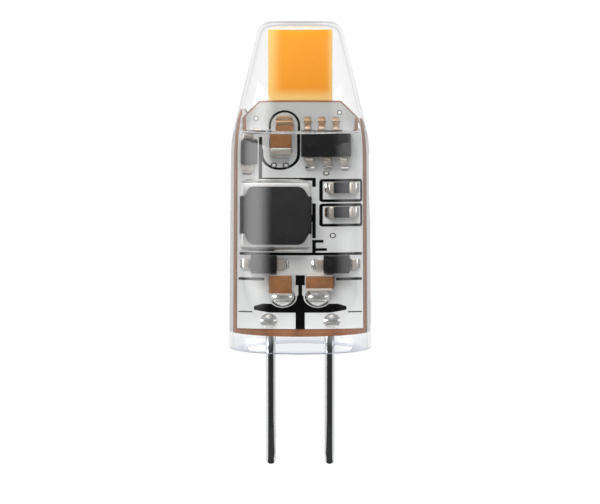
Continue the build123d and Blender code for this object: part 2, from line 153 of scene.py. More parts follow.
# Camera sensor in millimetres
SENSOR_WIDTH = 36

# Light of the studio: depth from which a ray is scattered, and greys by direction, front at -1 to rear at 1
SCATTERED_DEPTH = 0.5
MIRRORED_GREYS = ((-1.0, 0.03), (-0.55, 0.05), (-0.25, 0.85), (0.0, 1.0))
THROUGH_GREYS = ((-1.0, 0.22), (0.0, 0.40), (0.4, 0.52), (0.7, 0.64), (0.9, 0.92), (0.97, 1.0))


class CapsuleSizes(bpy.types.PropertyGroup):
    """Sizes of the clear cap and of the details on the parts."""

    body_segments: bpy.props.IntProperty(
        name="Body segments", description="Facets round the turned cap", default=160, min=48, max=256
    )
    cap_wall: bpy.props.FloatProperty(
        name="Cap wall", description="Wall of the clear cap", default=0.3 * MM, unit="LENGTH"
    )
    shoulder_height: bpy.props.FloatProperty(
        name="Shoulder height", description="Where the side turns in to the crown",
        default=14.1 * MM, unit="LENGTH",
    )
    shoulder_radius: bpy.props.FloatProperty(
        name="Shoulder radius", description="Radius of the cap at its shoulder",
        default=4.707 * MM, unit="LENGTH",
    )
    shoulder_blend: bpy.props.FloatProperty(
        name="Shoulder blend", description="Radius of the soft turn at the shoulder",
        default=9.4 * MM, unit="LENGTH",
    )
    crown_radius: bpy.props.FloatProperty(
        name="Crown radius", description="Radius of the cap at its top", default=2.75 * MM, unit="LENGTH"
    )
    crown_round: bpy.props.FloatProperty(
        name="Crown round", description="Round between side and top", default=1.0 * MM, unit="LENGTH"
    )
    fill_height: bpy.props.FloatProperty(
        name="Fill height", description="Level of the clear filling", default=14.6 * MM, unit="LENGTH"
    )
    meniscus_rise: bpy.props.FloatProperty(
        name="Meniscus rise", description="How far the filling climbs the wall",
        default=0.3 * MM, unit="LENGTH",
    )
    meniscus_run: bpy.props.FloatProperty(
        name="Meniscus run", description="Where the filling starts to climb",
        default=0.3 * MM, unit="LENGTH",
    )
    climb_left: bpy.props.FloatProperty(
        name="Climb on the left", description="Filling drawn up beside the board, left",
        default=1.65 * MM, unit="LENGTH",
    )
    climb_right: bpy.props.FloatProperty(
        name="Climb on the right", description="Filling drawn up beside the board, right",
        default=1.0 * MM, unit="LENGTH",
    )
    climb_offset: bpy.props.FloatProperty(
        name="Climb offset", description="Where the filling is drawn up, from the axis",
        default=3.85 * MM, unit="LENGTH",
    )
    climb_foot: bpy.props.FloatProperty(
        name="Climb foot", description="Radius of the drawn-up filling at its foot",
        default=0.9 * MM, unit="LENGTH",
    )
    climb_tip: bpy.props.FloatProperty(
        name="Climb tip", description="Radius of the drawn-up filling at its tip",
        default=0.25 * MM, unit="LENGTH",
    )
    climb_seat: bpy.props.FloatProperty(
        name="Climb seat", description="How deep the drawn-up filling is rooted",
        default=0.2 * MM, unit="LENGTH",
    )
    rim_round: bpy.props.FloatProperty(
        name="Rim round", description="Round on the edges of the rim", default=0.1 * MM, unit="LENGTH"
    )
    pin_radius: bpy.props.FloatProperty(
        name="Pin radius", description="Radius of a contact pin", default=0.35 * MM, unit="LENGTH"
    )
    pin_tip_round: bpy.props.FloatProperty(
        name="Pin tip round", description="Round at the tip of a pin", default=0.3 * MM, unit="LENGTH"
    )
    pin_tail_front: bpy.props.FloatProperty(
        name="Pin tail front", description="Depth of the flattened tail's front",
        default=0.3 * MM, unit="LENGTH",
    )
    pin_tail_thickness: bpy.props.FloatProperty(
        name="Pin tail thickness", description="Thickness of the flattened tail",
        default=0.42 * MM, unit="LENGTH",
    )
    pin_tail_seat: bpy.props.FloatProperty(
        name="Pin tail seat", description="How far the shank runs into the tail",
        default=0.05 * MM, unit="LENGTH",
    )
    case_draft: bpy.props.FloatProperty(
        name="Case draft", description="How far a moulded case narrows to its faces",
        default=0.06 * MM, unit="LENGTH",
    )
    case_round: bpy.props.FloatProperty(
        name="Case round", description="Round on the edges of a moulded case",
        default=0.04 * MM, unit="LENGTH",
    )
    metal_round: bpy.props.FloatProperty(
        name="Metal round", description="Round on the metal ends of the chips",
        default=0.09 * MM, unit="LENGTH",
    )
    lead_thickness: bpy.props.FloatProperty(
        name="Lead thickness", description="Thickness of the bent leads", default=0.14 * MM, unit="LENGTH"
    )
    lead_knee: bpy.props.FloatProperty(
        name="Lead knee", description="Where a bent lead turns down", default=0.19 * MM, unit="LENGTH"
    )
    lead_bend: bpy.props.FloatProperty(
        name="Lead bend", description="Radius of a lead's bends", default=0.1 * MM, unit="LENGTH"
    )
    winding_turns: bpy.props.IntProperty(
        name="Winding turns", description="Turns of wire seen on the coil's side", default=4, min=1, max=12
    )


class CapsuleColours(bpy.types.PropertyGroup):
    """Main colours of the finishes."""

    coat: bpy.props.FloatVectorProperty(
        name="White coat", description="Solder mask on the board",
        default=(0.69, 0.70, 0.70), size=3, subtype="COLOR",
    )
    fibre: bpy.props.FloatVectorProperty(
        name="Board fibre", description="Cut edges of the board",
        default=(0.28, 0.12, 0.06), size=3, subtype="COLOR",
    )
    phosphor: bpy.props.FloatVectorProperty(
        name="Phosphor", description="Middle of the light plate",
        default=(0.80, 0.30, 0.016), size=3, subtype="COLOR",
    )
    # Painted reflection: paler colour on the phosphor's sides
    phosphor_side_reflection: bpy.props.FloatVectorProperty(
        name="Phosphor side", description="Painted reflection on the sides of the phosphor",
        default=(0.82, 0.50, 0.14), size=3, subtype="COLOR",
    )
    # Painted reflection: paler colour on the phosphor's foot
    phosphor_foot_reflection: bpy.props.FloatVectorProperty(
        name="Phosphor foot", description="Painted reflection on the foot of the phosphor",
        default=(0.84, 0.59, 0.21), size=3, subtype="COLOR",
    )
    ceramic_brown: bpy.props.FloatVectorProperty(
        name="Brown ceramic", description="Capacitor bodies",
        default=(0.28, 0.125, 0.05), size=3, subtype="COLOR",
    )


class CapsuleStage(bpy.types.PropertyGroup):
    """Camera and light."""

    camera_distance: bpy.props.FloatProperty(
        name="Camera distance", description="From the lens to the aim", default=200 * MM, unit="LENGTH"
    )
    camera_elevation: bpy.props.FloatProperty(
        name="Camera elevation", description="Height angle of the camera",
        default=math.radians(3.58), subtype="ANGLE",
    )
    camera_lens: bpy.props.FloatProperty(
        name="Lens", description="Focal length in millimetres", default=176.3, min=50, max=600
    )
    aim_height: bpy.props.FloatProperty(
        name="Aim height", description="Height the camera looks at", default=6.545 * MM, unit="LENGTH"
    )
    aim_offset: bpy.props.FloatProperty(
        name="Aim offset", description="How far to the right the camera looks",
        default=-0.014 * MM, unit="LENGTH",
    )
    floor_radius: bpy.props.FloatProperty(
        name="Floor radius", description="Radius of the white floor", default=14 * MM, unit="LENGTH"
    )
    left_panel: bpy.props.FloatProperty(
        name="Left panel", description="Brightness of the wide panel on the left", default=7.0, min=0
    )
    right_panel: bpy.props.FloatProperty(
        name="Right panel", description="Brightness of the fainter panel on the right", default=2.5, min=0
    )
    key_light: bpy.props.FloatProperty(
        name="Key light", description="Brightness of the large soft lamp in front", default=6.4, min=0
    )
    room: bpy.props.FloatProperty(
        name="Room light", description="Even light from all round", default=0.54, min=0
    )


def sizes():
    return bpy.context.scene.capsule_sizes


def colours():
    return bpy.context.scene.capsule_colours


def stage_settings():
    return bpy.context.scene.capsule_stage


# Mesh helpers


def clear_selection():
    """Object mode with nothing selected."""
    if bpy.context.mode != "OBJECT":
        bpy.ops.object.mode_set(mode="OBJECT")
    bpy.ops.object.select_all(action="DESELECT")


def only(piece):
    """Make one object the only selected and active one."""
    clear_selection()
    piece.select_set(True)
    bpy.context.view_layer.objects.active = piece


def pick(piece, kind, test):
    """Edit mode on a piece with only the faces, edges or vertices that pass the test selected."""
    only(piece)
    bpy.ops.object.mode_set(mode="EDIT")
    bpy.ops.mesh.select_mode(type=kind)
    bpy.ops.mesh.select_all(action="DESELECT")
    bpy.ops.object.mode_set(mode="OBJECT")
    mesh = piece.data
    items = {"FACE": mesh.polygons, "EDGE": mesh.edges, "VERT": mesh.vertices}[kind]
    count = 0
    for item in items:
        item.select = bool(test(item))
        count += item.select
    bpy.ops.object.mode_set(mode="EDIT")
    if not count:
        raise RuntimeError(f"nothing to pick on {piece.name}")


def set_down(piece):
    """Back to object mode, with the place in the mesh and the object at the origin."""
    only(piece)
    bpy.ops.object.transform_apply(location=True, rotation=True, scale=True)


def edit_all(piece):
    """Edit mode on a piece with all of it selected."""
    only(piece)
    bpy.ops.object.mode_set(mode="EDIT")
    bpy.ops.mesh.select_all(action="SELECT")


def close_up(piece):
    """Merge doubled points and turn all faces outwards."""
    edit_all(piece)
    bpy.ops.mesh.remove_doubles(threshold=SAME_PLACE)
    bpy.ops.mesh.normals_make_consistent(inside=False)
    bpy.ops.object.mode_set(mode="OBJECT")


def turn_inside_out(piece):
    """Turn all faces of a piece over, for the wall of a hollow."""
    edit_all(piece)
    bpy.ops.mesh.flip_normals()
    bpy.ops.object.mode_set(mode="OBJECT")


def smooth(piece, angle=40):
    """Smooth shading that keeps edges sharper than the angle."""
    only(piece)
    bpy.ops.object.shade_smooth_by_angle(angle=math.radians(angle))


def apply_modifier(piece, kind, **settings):
    """Add one modifier with the given settings and apply it."""
    only(piece)
    modifier = piece.modifiers.new("shape", kind)
    for key, value in settings.items():
        setattr(modifier, key, value)
    bpy.ops.object.modifier_apply(modifier=modifier.name)


def remove(piece):
    """Delete a cutter."""
    mesh = piece.data
    bpy.data.objects.remove(piece)
    bpy.data.meshes.remove(mesh)


def join(name, pieces):
    """Join pieces into one object."""
    clear_selection()
    for piece in pieces:
        piece.select_set(True)
    bpy.context.view_layer.objects.active = pieces[0]
    if len(pieces) > 1:
        bpy.ops.object.join()
    piece = bpy.context.object
    piece.name = piece.data.name = name
    return piece


def copy_of(source, offset):
    """A copy of a piece, with its own mesh, moved by an offset."""
    only(source)
    bpy.ops.object.duplicate(linked=False)
    piece = bpy.context.object
    bpy.ops.transform.translate(value=offset)
    set_down(piece)
    return piece


def start_block(name, low, high):
    """A block between two corners, to be shaped further."""
    clear_selection()
    low, high = Vector(low), Vector(high)
    bpy.ops.mesh.primitive_cube_add(size=1, location=(low + high) / 2, scale=high - low)
    piece = bpy.context.object
    piece.name = piece.data.name = name
    set_down(piece)
    return piece


def soften(piece, radius, segments=3, limit=35):
    """Round every edge that is sharper than the limit."""
    apply_modifier(
        piece, "BEVEL", width=radius, segments=segments, limit_method="ANGLE", angle_limit=math.radians(limit)
    )
    smooth(piece)


def rounded_block(low, high, radius, name="block"):
    """Block with all its edges rounded."""
    piece = start_block(name, low, high)
    soften(piece, radius)
    return piece


def finish_piece(piece, slot, material, *nodes):
    """Give a piece its finish, its body and the solids that it stands for."""
    piece.data.materials.clear()
    piece.data.materials.append(material)
    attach(piece, "root")
    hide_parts(*nodes)


def solid_boxes(node):
    """Low and high corners of each separate solid in a node, from below upwards."""
    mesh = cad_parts[node].data
    leader = {}

    def find(key):
        while leader.setdefault(key, key) != key:
            key = leader[key]
        return key

    spots = [tuple(round(value / MM, 4) for value in vertex.co) for vertex in mesh.vertices]
    for face in mesh.polygons:
        first = find(spots[face.vertices[0]])
        for index in face.vertices[1:]:
            leader[find(spots[index])] = first
    groups = {}
    for spot in spots:
        groups.setdefault(find(spot), []).append(spot)
    boxes = []
    for group in groups.values():
        columns = list(zip(*group))
        low = Vector([min(column) for column in columns]) * MM
        high = Vector([max(column) for column in columns]) * MM
        boxes.append((low, high))
    return sorted(boxes, key=lambda box: (round(box[0].z, 6), box[0].x))


def outward_of(box, bodies):
    """Direction in which a box lies beside the nearest body."""
    middle = (box[0] + box[1]) / 2
    low, high = min(bodies, key=lambda body: (middle - (body[0] + body[1]) / 2).length)
    if middle.z > high.z:
        return UP
    if middle.z < low.z:
        return -UP
    return RIGHT if middle.x > high.x else -RIGHT


def repeated(name, node, make, bodies=()):
    """One piece for a node's like solids: the first of each kind is modelled and copied to the rest."""
    made = {}
    pieces = []
    for low, high in solid_boxes(node):
        outward = outward_of((low, high), bodies) if bodies else FRONT
        kind = (tuple(outward), *(round(value / MM, 3) for value in high - low))
        if kind in made:
            first_low, source = made[kind]
            pieces.append(copy_of(source, low - first_low))
        else:
            source = make(low, high, outward)
            made[kind] = (low, source)
            pieces.append(source)
    return join(name, pieces)


def round_corner(before, corner, after, radius, steps):
    """Points of an arc that rounds one corner of a flat outline."""
    before, corner, after = Vector(before), Vector(corner), Vector(after)
    back, ahead = (before - corner).normalized(), (after - corner).normalized()
    half = back.angle(ahead) / 2
    reach = radius / math.tan(half)
    centre = corner + (back + ahead).normalized() * (radius / math.sin(half))
    start, end = corner + back * reach - centre, corner + ahead * reach - centre
    sweep = start.angle_signed(end)
    points = []
    for step in range(steps + 1):
        turn = Matrix.Rotation(-sweep * step / steps, 2)
        points.append(centre + turn @ start)
    return points


def arc_rings(middle, across, up, start, end, steps):
    """Radius and height along an oval's arc, at angles in degrees from its foot, about a middle point."""
    rings = []
    for step in range(steps + 1):
        angle = math.radians(start + (end - start) * step / steps)
        rings.append((middle[0] + across * math.sin(angle), middle[1] - up * math.cos(angle)))
    return rings


def turned(name, rings, segments, centre=(0, 0), front=False):
    """Solid of rings, each a radius and a height: about Z, or about the line towards the viewer."""
    first, second = centre

    def spot(height):
        return Vector((first, -height, second)) if front else Vector((first, second, height))

    clear_selection()
    (radius, height), rest = rings[0], rings[1:]
    tilt = math.pi / 2 if front else 0
    bpy.ops.mesh.primitive_circle_add(
        vertices=segments, radius=radius, fill_type="NGON", location=spot(height), rotation=(tilt, 0, 0)
    )
    piece = bpy.context.object
    piece.name = piece.data.name = name
    set_down(piece)
    edit_all(piece)
    for next_radius, next_height in rest:
        step = spot(next_height) - spot(height)
        bpy.ops.mesh.extrude_region_move(TRANSFORM_OT_translate={"value": step})
        grow = next_radius / radius
        scale = (grow, 1, grow) if front else (grow, grow, 1)
        bpy.ops.transform.resize(value=scale, center_override=spot(next_height))
        radius, height = next_radius, next_height
    bpy.ops.object.mode_set(mode="OBJECT")
    close_up(piece)
    return piece


def solder_joint(low, high, outward):
    """Fillet that sinks in a hollow curve from a metal end to its toe, drawn out slice by slice."""
    axis = 0 if outward.x else 2
    lateral = 2 - axis
    length = high[axis] - low[axis]
    ahead = outward[axis] > 0
    slices = (0.1, 0.28, 0.5, 0.75, 1.0)
    toe_height, hollow, toe_narrowing = 0.1, 1.7, 0.3
    start_low, start_high = low.copy(), high.copy()
    if ahead:
        start_high[axis] = low[axis] + slices[0] * length
    else:
        start_low[axis] = high[axis] - slices[0] * length
    piece = start_block("joint", start_low, start_high)
    pick(piece, "FACE", lambda face: face.normal.dot(outward) > SAME_WAY)
    tall, wide, done = 1.0, 1.0, slices[0]
    for share in slices[1:]:
        next_tall = toe_height + (1 - toe_height) * (1 - share) ** hollow
        next_wide = 1 - toe_narrowing * share ** 2
        bpy.ops.mesh.extrude_region_move(TRANSFORM_OT_translate={"value": outward * (share - done) * length})
        foot = (low + high) / 2
        foot.y = high.y
        foot[axis] = low[axis] + share * length if ahead else high[axis] - share * length
        scale = Vector((1, next_tall / tall, 1))
        scale[lateral] = next_wide / wide
        bpy.ops.transform.resize(value=scale, center_override=foot)
        tall, wide, done = next_tall, next_wide, share
    bpy.ops.object.mode_set(mode="OBJECT")
    soften(piece, JOINT_ROUND_SHARE * min(length, high.y - low.y), limit=50)
    return piece


def bent_lead(low, high, outward):
    """Gull-wing lead: a strip drawn along its bends, then thickened and softened."""
    size = sizes()
    half = size.lead_thickness / 2
    sign = 1 if outward.z > 0 else -1
    root = low.z if sign > 0 else high.z
    reach = high.z - low.z
    top = high.y - low.y - half
    knee = [(0.0, top), (size.lead_knee, top), (size.lead_knee, half), (reach, half)]
    path = [Vector(knee[0]), *round_corner(*knee[:3], size.lead_bend, 5)]
    path += [*round_corner(*knee[1:], size.lead_bend, 5), Vector(knee[3])]
    points = [Vector(((low.x + high.x) / 2, high.y - tall, root + sign * out)) for out, tall in path]
    clear_selection()
    first = abs(points[1].z - points[0].z)
    bpy.ops.mesh.primitive_plane_add(
        size=1, location=(points[0] + points[1]) / 2, rotation=(math.pi / 2, 0, 0)
    )
    piece = bpy.context.object
    piece.scale = (high.x - low.x, first, 1)
    set_down(piece)
    vertices, end = piece.data.vertices, points[1].z
    pick(piece, "EDGE", lambda edge: all(abs(vertices[i].co.z - end) < SAME_PLACE for i in edge.vertices))
    for before, after in zip(points[1:], points[2:]):
        bpy.ops.mesh.extrude_region_move(TRANSFORM_OT_translate={"value": after - before})
    bpy.ops.object.mode_set(mode="OBJECT")
    close_up(piece)
    apply_modifier(piece, "SOLIDIFY", thickness=size.lead_thickness, offset=0.0)
    soften(piece, LEAD_ROUND_SHARE * size.lead_thickness, segments=2, limit=60)
    return piece


def moulded_case(name, low, high):
    """Moulded package: a block split at its mould line, narrowed to both faces and softened."""
    size = sizes()
    piece = start_block(name, low, high)
    middle = (low + high) / 2
    pick(piece, "FACE", lambda face: True)
    bpy.ops.mesh.bisect(plane_co=middle, plane_no=FRONT, threshold=SAME_PLACE)
    wide, tall = high.x - low.x, high.z - low.z
    for level in (low.y, high.y):
        pick(piece, "VERT", lambda vertex, y=level: abs(vertex.co.y - y) < SAME_PLACE)
        scale = (1 - 2 * size.case_draft / wide, 1, 1 - 2 * size.case_draft / tall)
        bpy.ops.transform.resize(value=scale, center_override=(middle.x, level, middle.z))
    bpy.ops.object.mode_set(mode="OBJECT")
    soften(piece, size.case_round, limit=30)
    return piece


# Shader helpers


def add_node(tree, kind, inputs=(), **properties):
    """Node with its properties, then its inputs by name or place, each a value or another node's output."""
    node = tree.nodes.new(kind)
    for key, value in properties.items():
        setattr(node, key, value)
    for key, value in dict(inputs).items():
        if isinstance(value, bpy.types.NodeSocket):
            tree.links.new(value, node.inputs[key])
        else:
            node.inputs[key].default_value = value
    return node


def new_material(name):
    """Material with an empty node tree, and the tree."""
    material = bpy.data.materials.new(name)
    material.use_nodes = True
    material.node_tree.nodes.clear()
    return material, material.node_tree


def coordinates(tree, kind):
    """Texture coordinates of one kind."""
    return add_node(tree, "ShaderNodeTexCoord").outputs[kind]


def axes(tree, vector):
    """The X, Y and Z of a vector."""
    return add_node(tree, "ShaderNodeSeparateXYZ", {"Vector": vector}).outputs


def remap(tree, value, start, end, low=0.0, high=1.0, ease="SMOOTHSTEP"):
    """Goes from low to high as a value goes from start to end."""
    inputs = {"Value": value, "From Min": start, "From Max": end, "To Min": low, "To Max": high}
    return add_node(tree, "ShaderNodeMapRange", inputs, interpolation_type=ease).outputs["Result"]


def calculate(tree, operation, *values):
    """Result of one operation on numbers."""
    return add_node(tree, "ShaderNodeMath", dict(enumerate(values)), operation=operation).outputs[0]


def mix_colours(tree, factor, first, second, blend="MIX"):
    """Colour between two."""
    inputs = {"Factor": factor, "A": first, "B": second}
    return add_node(tree, "ShaderNodeMix", inputs, data_type="RGBA", blend_type=blend).outputs["Result"]


def mix_shaders(tree, factor, first, second):
    """Shader between two."""
    return add_node(tree, "ShaderNodeMixShader", {"Fac": factor, 1: first, 2: second}).outputs["Shader"]


def colour_ramp(tree, value, stops):
    """Colour that follows a value through stops, each a place from 0 to 1 and a colour."""
    node = add_node(tree, "ShaderNodeValToRGB", {"Fac": value})
    elements = node.color_ramp.elements
    while len(elements) < len(stops):
        elements.new(0.5)
    for element, (place, colour) in zip(elements, stops):
        element.position = place
        element.color = (*colour, 1)
    return node.outputs["Color"]


def mottle_group():
    """Two scales of cloudy variation: a colour between two, a roughness and a height."""
    if "Mottle" in bpy.data.node_groups:
        return bpy.data.node_groups["Mottle"]
    group = bpy.data.node_groups.new("Mottle", "ShaderNodeTree")
    sockets = (
        ("Vector", "INPUT", "NodeSocketVector"),
        ("Colour", "INPUT", "NodeSocketColor"),
        ("Second Colour", "INPUT", "NodeSocketColor"),
        ("Scale", "INPUT", "NodeSocketFloat"),
        ("Low Roughness", "INPUT", "NodeSocketFloat"),
        ("High Roughness", "INPUT", "NodeSocketFloat"),
        ("Colour", "OUTPUT", "NodeSocketColor"),
        ("Roughness", "OUTPUT", "NodeSocketFloat"),
        ("Height", "OUTPUT", "NodeSocketFloat"),
    )
    for label, way, kind in sockets:
        group.interface.new_socket(label, in_out=way, socket_type=kind)
    given = group.nodes.new("NodeGroupInput").outputs
    coarse = {"Vector": given["Vector"], "Scale": given["Scale"], "Detail": 3.0, "Roughness": 0.55}
    cloud = add_node(group, "ShaderNodeTexNoise", coarse).outputs["Fac"]
    fine_scale = calculate(group, "MULTIPLY", given["Scale"], GRAIN_PER_CLOUD)
    fine = {"Vector": given["Vector"], "Scale": fine_scale, "Detail": 2.0, "Roughness": 0.6}
    grain = add_node(group, "ShaderNodeTexNoise", fine).outputs["Fac"]
    between = remap(group, cloud, *CLOUD_RANGE, ease="LINEAR")
    low, high = given["Low Roughness"], given["High Roughness"]
    add_node(group, "NodeGroupOutput", {
        "Colour": mix_colours(group, between, given["Colour"], given["Second Colour"]),
        "Roughness": remap(group, grain, 0.0, 1.0, low, high, ease="LINEAR"),
        "Height": calculate(group, "MULTIPLY_ADD", grain, GRAIN_HEIGHT, cloud),
    })
    return group


# Finishes


def painted_plate_light(tree, colour):
    """Painted light: warm glow of the light plate painted on the metal that stands above the filling."""
    height = axes(tree, coordinates(tree, "Object"))["Z"]
    level = sizes().fill_height
    # Painted light of the light plate, multiplied into the metal's colour above the filling
    above = remap(tree, height, level + PLATE_LIGHT_START, level + PLATE_LIGHT_END)
    return mix_colours(tree, above, colour, PLATE_PAINTED_LIGHT, "MULTIPLY")


def coat_painted_shade(tree, colour):
    """Painted shade: white that greys towards the top of the board."""
    height = axes(tree, coordinates(tree, "Object"))["Z"]
    share = remap(tree, height, coat_low.z, coat_high.z, ease="LINEAR")
    return mix_colours(tree, 1.0, colour, colour_ramp(tree, share, COAT_PAINTED_SHADE), "MULTIPLY")


def phosphor_painted_reflections(tree, colour):
    """Phosphor with painted reflections that make it paler along its sides and its foot."""
    low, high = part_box("phosphor_front")
    place = axes(tree, coordinates(tree, "Object"))
    side = (*colours().phosphor_side_reflection, 1)
    foot = (*colours().phosphor_foot_reflection, 1)
    bands = (
        (place["X"], low.x + BAND_LEFT, low.x, side),
        (place["X"], high.x - BAND_RIGHT, high.x, side),
        (place["Z"], low.z + FOOT_END, low.z + FOOT_FULL, foot),
    )
    for along, inside, edge, paler in bands:
        colour = mix_colours(tree, remap(tree, along, inside, edge), colour, paler)
    return colour


# Scale is in features per millimetre, roughness goes from its first value to its second
Finish = namedtuple(
    "Finish", "colour second scale roughness bump metallic specular stretch recolour",
    defaults=(0.0, 0.5, (1, 1, 1), None),
)
FINISHES = {
    "dark gap": Finish((0.0015, 0.0015, 0.0015), (0.004, 0.004, 0.004), 2.0, (0.4, 0.6), 0.1, specular=0.03),
    "solder": Finish(
        (0.86, 0.86, 0.84), (0.76, 0.76, 0.75), 1.2, (0.16, 0.3), 0.06, metallic=1.0, recolour=painted_plate_light
    ),
    "tinned lead": Finish(
        (0.84, 0.79, 0.72), (0.74, 0.68, 0.60), 1.2, (0.28, 0.42), 0.05, metallic=1.0, recolour=painted_plate_light
    ),
    "pin metal": Finish(
        (0.74, 0.75, 0.75), (0.68, 0.69, 0.69), 3.0, (0.1, 0.14), 0.03,
        metallic=1.0, stretch=(1, 1, 0.05), recolour=painted_plate_light,
    ),
    "winding copper": Finish(
        (0.62, 0.26, 0.11), (0.48, 0.18, 0.07), 1.5, (0.2, 0.35), 0.1, metallic=1.0, recolour=painted_plate_light
    ),
    "silver plating": Finish((0.93, 0.93, 0.92), (0.86, 0.86, 0.86), 0.8, (0.38, 0.5), 0.03, metallic=0.85),
    "via ring": Finish(
        (0.09, 0.09, 0.085), (0.13, 0.13, 0.125), 3.0, (0.4, 0.6), 0.1, metallic=0.3, specular=0.3
    ),
    "via fill": Finish((0.80, 0.80, 0.79), (0.70, 0.70, 0.69), 3.0, (0.4, 0.6), 0.1, specular=0.4),
    "black epoxy": Finish(
        (0.007, 0.007, 0.0075), (0.012, 0.012, 0.013), 3.0, (0.45, 0.6), 0.3, specular=0.12
    ),
    "grey epoxy": Finish(
        (0.030, 0.030, 0.032), (0.045, 0.045, 0.047), 2.0, (0.45, 0.6), 0.3, specular=0.15
    ),
    "ferrite": Finish((0.016, 0.016, 0.017), (0.022, 0.022, 0.023), 1.4, (0.5, 0.7), 0.35, specular=0.15),
    "resistor glaze": Finish((0.018, 0.018, 0.022), (0.03, 0.03, 0.034), 2.0, (0.3, 0.5), 0.1, specular=0.2),
    "plate ceramic": Finish((0.78, 0.77, 0.74), (0.70, 0.69, 0.66), 1.2, (0.5, 0.65), 0.1),
}


def finish(name, looks=None):
    """Mottled finish on Object coordinates, made once, with its looks given or from the table."""
    label = name + " finish"
    if label in bpy.data.materials:
        return bpy.data.materials[label]
    looks = looks or FINISHES[name]
    material, tree = new_material(label)
    mapping = {"Vector": coordinates(tree, "Object"), "Scale": looks.stretch}
    cloud = add_node(tree, "ShaderNodeGroup", {
        "Vector": add_node(tree, "ShaderNodeMapping", mapping).outputs["Vector"],
        "Colour": (*looks.colour, 1),
        "Second Colour": (*looks.second, 1),
        "Scale": looks.scale / MM,
        "Low Roughness": looks.roughness[0],
        "High Roughness": looks.roughness[1],
    }, node_tree=mottle_group()).outputs
    relief = {"Height": cloud["Height"], "Strength": looks.bump, "Distance": GRAIN_DEPTH}
    shader = add_node(tree, "ShaderNodeBsdfPrincipled", {
        "Base Color": looks.recolour(tree, cloud["Colour"]) if looks.recolour else cloud["Colour"],
        "Metallic": looks.metallic,
        "Roughness": cloud["Roughness"],
        "Specular IOR Level": looks.specular,
        "Normal": add_node(tree, "ShaderNodeBump", relief).outputs["Normal"],
    })
    add_node(tree, "ShaderNodeOutputMaterial", {"Surface": shader.outputs["BSDF"]})
    return material


def tinted(name, base, share, *looks, **more_looks):
    """Finish in one of the colours that can be set, clouded with a darker share of it."""
    return finish(name, Finish(base, [share * part for part in base], *looks, **more_looks))


def white_coat():
    # The coat carries painted shade that greys it towards the top of the board
    return tinted(
        "white coat", colours().coat, 0.95, 0.5, (0.4, 0.55), 0.05, specular=0.3, recolour=coat_painted_shade
    )


def board_fibre():
    return tinted(
        "board fibre", colours().fibre, 0.7, 1.2, (0.6, 0.8), 0.2, specular=0.2, stretch=(1, 6, 1)
    )


def brown_ceramic():
    return tinted("brown ceramic", colours().ceramic_brown, 0.72, 1.6, (0.4, 0.6), 0.2, specular=0.25)


def phosphor():
    return tinted(
        "phosphor", colours().phosphor, 0.96, 0.6, (0.5, 0.65), 0.1, specular=0.2, recolour=phosphor_painted_reflections
    )


def clear_plastic():
    """Clear cap and filling: bends light, ripples faintly from the mould, and lets lamps reach the board."""
    material, tree = new_material("clear plastic")
    place = coordinates(tree, "Object")
    height = axes(tree, place)["Z"]
    up_rim = remap(tree, height, 0.0, fill_low.z, ease="LINEAR")
    gloss = remap(tree, height, body_high.z - CROWN_START, body_high.z - CROWN_END, 1.0, CROWN_GLOSS)
    noise = {"Vector": place, "Scale": RIPPLE_SCALE, "Detail": 1.0}
    ripple = add_node(tree, "ShaderNodeTexNoise", noise).outputs["Fac"]
    relief = {"Height": ripple, "Strength": RIPPLE_STRENGTH, "Distance": RIPPLE_DEPTH}
    glass = add_node(tree, "ShaderNodeBsdfPrincipled", {
        # Base colour carries painted shade that greys and tints the plastic towards the foot of the rim
        "Base Color": colour_ramp(tree, up_rim, RIM_PAINTED_SHADE),
        "Roughness": 0.0,
        "IOR": PLASTIC_IOR,
        "Normal": add_node(tree, "ShaderNodeBump", relief).outputs["Normal"],
        "Specular Tint": gloss,
        "Transmission Weight": 1.0,
    })
    # Painted glow: the plastic glows for rays that have bounced deep inside it, in place of light trapped in
    # it
    trapped = add_node(tree, "ShaderNodeEmission", {"Color": TRAPPED_TINT, "Strength": TRAPPED_PAINTED_GLOW})
    passing = add_node(tree, "ShaderNodeBsdfTransparent")
    ray = add_node(tree, "ShaderNodeLightPath").outputs
    deep = calculate(tree, "GREATER_THAN", ray["Glossy Depth"], TRAPPED_DEPTH)
    inside = mix_shaders(tree, deep, glass.outputs["BSDF"], trapped.outputs["Emission"])
    surface = mix_shaders(tree, ray["Is Shadow Ray"], inside, passing.outputs["BSDF"])
    add_node(tree, "ShaderNodeOutputMaterial", {"Surface": surface})
    return material


# Pieces


def solder_joints(name, node, bodies):
    """Fillets for a node's solder, each beside one of the bodies."""
    piece = repeated(name, node, solder_joint, bodies)
    finish_piece(piece, "solder", finish("solder"), node)


def metal_blocks(name, node, radius, material):
    """Softened blocks for a node's metal ends, clips or flat leads."""
    piece = repeated(name, node, lambda low, high, _: rounded_block(low, high, radius))
    finish_piece(piece, "tinned_lead", material, node)


